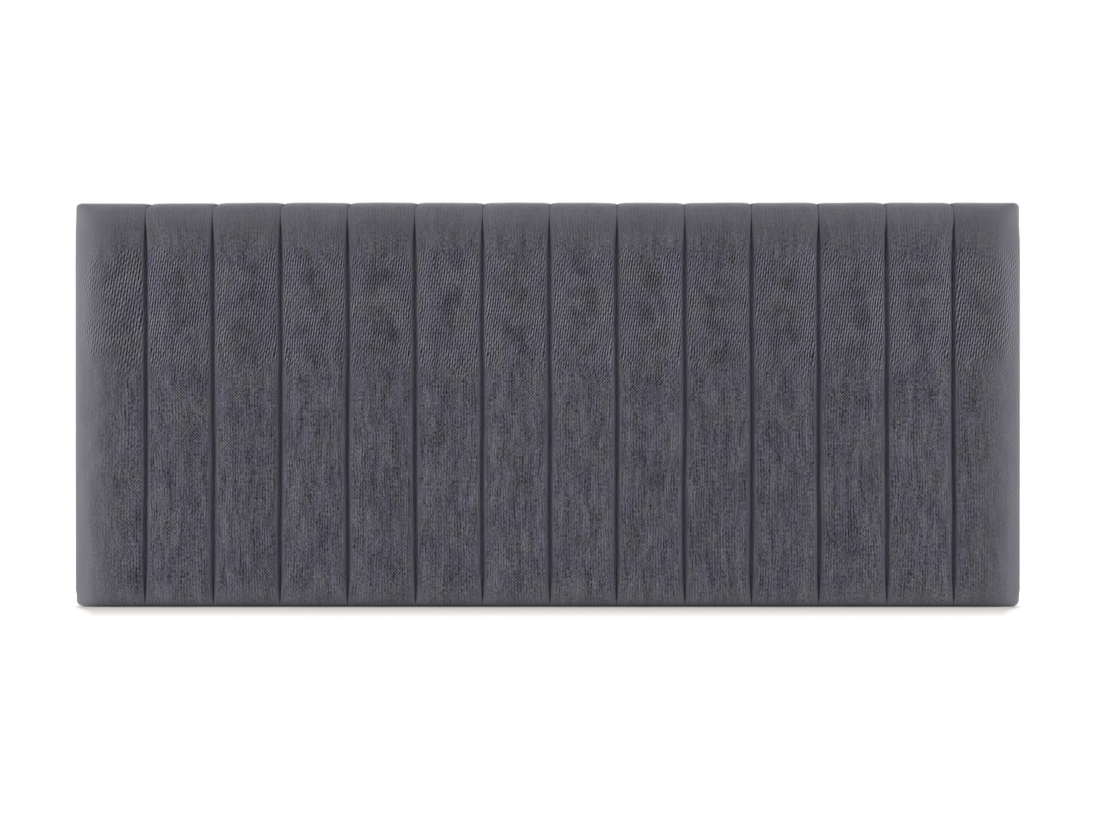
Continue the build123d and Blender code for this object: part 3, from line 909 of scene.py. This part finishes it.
def staple_pattern():
    """Staples along a path on the back: each is a wire bent at both ends, its legs driven towards the front."""
    sizes = dict.fromkeys(("Spacing", "Crown", "Leg", "Wire", "Stray", "Turn"), "Float")
    p = Pattern("staples", **sizes, Seed="Int", Finish="Material")
    spacing, crown, leg, thick, stray, turn, seed = (p.given[name] for name in (*sizes, "Seed"))
    place = p.node("GeometryNodeInputIndex")[0]
    bent = p.vector((place.within(1.0, 2.0) - 1.5) * crown, (abs(place - 1.5) - 0.5) * leg * -1.0)
    line = p.node("GeometryNodeMeshLine", {"Count": 4})[0]
    line = p.node("GeometryNodeSetPosition", {"Geometry": line, "Position": bent})[0]
    wire = p.node("GeometryNodeMeshToCurve", {"Mesh": line})[0]
    wire = p.node("GeometryNodeFilletCurve", {"Curve": wire, "Count": 2, "Radius": thick}, mode="POLY")[0]
    section = p.node("GeometryNodeCurvePrimitiveCircle", {"Resolution": 6, "Radius": thick * 0.5})[0]
    staple = p.node("GeometryNodeCurveToMesh", {"Curve": wire, "Profile Curve": section, "Fill Caps": True})[0]
    run = p.node("GeometryNodeMeshToCurve", {"Mesh": p.given["Geometry"]})[0]
    run = p.node("GeometryNodeResampleCurve", {"Curve": run, "Length": spacing}, mode="LENGTH")[0]
    reach = {"Min": p.vector(stray * -1.0, 0.0, stray * -1.0), "Max": p.vector(stray, 0.0, stray)}
    shift = p.node("FunctionNodeRandomValue", {**reach, "Seed": seed + 1.0}, data_type="FLOAT_VECTOR")[0]
    tangent = p.node("GeometryNodeInputTangent")[0]
    facing = p.node("FunctionNodeAlignRotationToVector", {"Vector": tangent}, axis="X", pivot_axis="Y")[0]
    facing = p.node("FunctionNodeRotateRotation", {"Rotation": facing, "Rotate By": p.turned(turn * -1.0, turn)},
                    rotation_space="LOCAL")[0]
    set_out = p.node("GeometryNodeInstanceOnPoints", {"Points": run, "Instance": staple, "Rotation": facing})[0]
    p.ended(p.node("GeometryNodeTranslateInstances", {"Instances": set_out, "Translation": shift})[0])
    return p


def bands(first, count, levels):
    """Quads between rings of points that follow one another."""
    return [tuple(first + ring * count + m % count for ring, m in ((level, n), (level, n + 1), (level + 1, n + 1),
                                                                   (level + 1, n)))
            for level in range(levels) for n in range(count)]


def screw_mesh(head, shank, length):
    """Countersunk screw along -Y with a cross recess in its head and a thread on its shank."""
    around, threads = 24, 9
    profile = [(head * 0.96, 0.0), (head, -0.0002), (shank, shank - head), (shank * 0.92, shank - head - 0.0010)]
    start, stop = shank - head - 0.0018, -length + 0.0026
    for n in range(threads + 1):
        at = start + (stop - start) * n / threads
        profile += [(shank * 0.70, at + 0.0004), (shank * 0.98, at)]
    profile += [(shank * 0.60, stop - 0.0006), (0.0001, -length)]
    points = [(radius * math.cos(math.tau * n / around), depth, radius * math.sin(math.tau * n / around))
              for radius, depth in profile for n in range(around)]
    faces = bands(0, around, len(profile) - 1)
    faces.append(tuple(range(len(points) - around, len(points))))
    arm, half = head * 0.56, head * 0.15
    cross = []
    for turn in range(4):
        c, s = round(math.cos(turn * math.pi / 2)), round(math.sin(turn * math.pi / 2))
        cross += [(x * c - z * s, x * s + z * c) for x, z in ((arm, -half), (arm, half), (half, half))]
    first, count = len(points), len(cross)
    for share, depth in ((1.0, 0.0), (0.82, -0.0007), (0.45, -0.0016)):
        points += [(x * share, depth, z * share) for x, z in cross]
    faces += bands(first, count, 2)
    faces.append(tuple(range(len(points) - count, len(points))))
    # the flat of the head, between its rim and the recess: each rim point joins the nearest point of the cross
    near = [min(range(count), key=lambda m: math.hypot(points[n][0] - cross[m][0], points[n][2] - cross[m][1]))
            for n in range(around)]
    for n in range(around):
        following, step = (n + 1) % around, near[n]
        faces.append((n, following, first + step))
        while step != near[following]:
            faces.append((following, first + (step + 1) % count, first + step))
            step = (step + 1) % count
    return cleaned(mesh_of("hanger_screw", points, faces=faces), rounded=False)


def screw_pattern():
    """One screw at each point, turned at random."""
    p = Pattern("screws", Screw="Object", Seed="Int", Finish="Material")
    screw = p.node("GeometryNodeObjectInfo", {"Object": p.given["Screw"]})["Geometry"]
    values = {"Points": p.given["Geometry"], "Instance": screw, "Rotation": p.turned(0.0, math.pi)}
    p.ended(p.node("GeometryNodeInstanceOnPoints", values)[0])
    return p


def rows_of(*ends):
    """Points and edges of separate straight paths, each from one end to the other."""
    points = [end for pair in ends for end in pair]
    return points, [(n, n + 1) for n in range(0, len(points), 2)]


staples = staple_pattern()
wire = dict(Crown=0.0125, Leg=0.006, Wire=0.0009, Finish=finishes["staple_wire"])
hem_line, hem_side = height - 0.016, width / 2 - 0.016
hem_paths = rows_of(((-0.655, hem_back_y, hem_line), (0.655, hem_back_y, hem_line)),
                    *[((side * hem_side, hem_back_y, 0.515), (side * hem_side, hem_back_y, 0.570))
                      for side in (-1, 1)])
hem_staples = staples.made("hem_staples", *hem_paths, Spacing=0.027, Stray=0.0016, Turn=0.16, Seed=3, **wire)
edge_x, low_z, high_z = width / 2 - back_cloth_margin - 0.008, back_cloth_margin + 0.008, back_cloth_top - 0.008
cloth_paths = rows_of(*[((-0.665, back_y, z), (0.665, back_y, z)) for z in (low_z, high_z)],
                      *[((side * edge_x, back_y, 0.040), (side * edge_x, back_y, 0.478)) for side in (-1, 1)])
cloth_staples = staples.made("back_cloth_staples", *cloth_paths, Spacing=0.043, Stray=0.0014, Turn=0.20, Seed=8,
                             **wire)
for piece in (hem_staples, cloth_staples):
    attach(piece, "root")

sample = placed("hanger_screw", screw_mesh(screw_head, screw_shank, screw_length))
screw_points = [(x, back_y, hanger_z + side * screw_rise) for x in hanger_xs for side in (-1, 1)]
driven = screw_pattern().made("hanger_screws_driven", screw_points, [], Screw=sample, Seed=5,
                              Finish=finishes["screw_steel"])
bpy.data.objects.remove(sample)
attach(driven, "root")
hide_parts("hanger_screws")


# ---- Carried-over pieces ----

for node, piece in frame["nodes"].items():
    slot = next(s["material_slot"] for s in frame["record"]["subparts"] if s["node"] == node)
    finish = {"pine": "pine_rail" if "rail" in node else "pine_stile"}.get(slot, slot)
    piece.data.materials.clear()
    piece.data.materials.append(finishes[finish])


# ---- Room, light and camera ----

def floor_finish():
    """Pale floor. To the camera it is a darker, warmer copy of itself under a white glow; the glow is weak along
    the foot of the object and grows away from it, so the soft shadow there is partly the lamps' real shadow and
    partly painted shadow.
    """
    f = Finish("studio_floor")
    x, y, _ = f.place()
    # the white glow is weak at the foot of the object and grows away from it and past its ends: a painted shadow,
    # shaped and faded over the lamps' real one
    reach = abs(y) - back_y
    outside = reach.within(0.0, 1.0)
    beside = ((abs(x) - (width / 2 - 0.016) + outside * 0.45) / (outside * 0.35 + 0.024)).within(0.0, 1.0)
    away = reach.ramp(-0.174, 0.567)
    glow_past_painted_shadow = beside.maths("MAXIMUM", beside, away)
    plain = f.node("ShaderNodeBsdfDiffuse", {"Color": (0.80, 0.80, 0.80, 1.0)})["BSDF"]
    # to the camera the floor is a darker, warmer copy of itself under the glow, so the shadow near the foot shows
    # darker
    dull = f.node("ShaderNodeBsdfDiffuse", {"Color": (0.50, 0.475, 0.45, 1.0)})["BSDF"]
    glow = f.node("ShaderNodeEmission", {"Color": (1.0, 1.0, 1.0, 1.0), "Strength": glow_past_painted_shadow})["Emission"]
    white = f.node("ShaderNodeAddShader", {0: dull, 1: glow})[0]
    surface = f.node("ShaderNodeMixShader", {0: f.seen_directly(), 1: plain, 2: white})[0]
    f.node("ShaderNodeOutputMaterial", {"Surface": surface})
    return f.material


def lamp(name, place, aim, size, power):
    light = bpy.data.lights.new(name, "AREA")
    light.shape, light.size, light.size_y, light.energy = "RECTANGLE", *size, power
    lit = placed(name, light)
    lit.location = place
    lit.rotation_euler = (Vector(aim) - Vector(place)).to_track_quat("-Z", "Y").to_euler()


floor_corners = [(-30, -12, 0), (30, -12, 0), (30, 60, 0), (-30, 60, 0)]
floor = placed("studio_floor", mesh_of("studio_floor", floor_corners, faces=[(0, 1, 2, 3)]))
floor.data.materials.append(floor_finish())

scene.world = bpy.data.worlds.new("studio")
scene.world.use_nodes = True
room = Wiring(scene.world.node_tree)
lit, white = [room.node("ShaderNodeBackground", {"Color": (1.0, 1.0, 1.0, 1.0), "Strength": strength})[0]
              for strength in (0.14, 1.0)]
surface = room.node("ShaderNodeMixShader", {0: room.seen_directly(), 1: lit, 2: white})[0]
room.node("ShaderNodeOutputWorld", {"Surface": surface})

lamp("left_softbox", (-6.0, -1.0, 1.2), (-0.2, 0, 0.3), (3.0, 3.0), 495)
lamp("right_softbox", (6.0, -1.0, 1.2), (0.2, 0, 0.3), (3.0, 3.0), 440)
lamp("overhead", (0, -0.6, 3.4), (0, 0, 0.4), (4.0, 1.4), 41)

# the frame takes in view_width at view_distance from the camera
view_distance, view_width = 5.0, 1.6203
camera = placed("camera", bpy.data.cameras.new("camera"))
camera.location = (0.0033, -5.04, 0.2878)
camera.rotation_euler = (math.radians(90), 0, 0)
camera.data.sensor_width = 36
camera.data.lens = camera.data.sensor_width * view_distance / view_width
scene.camera = camera
scene.view_settings.view_transform = "Standard"
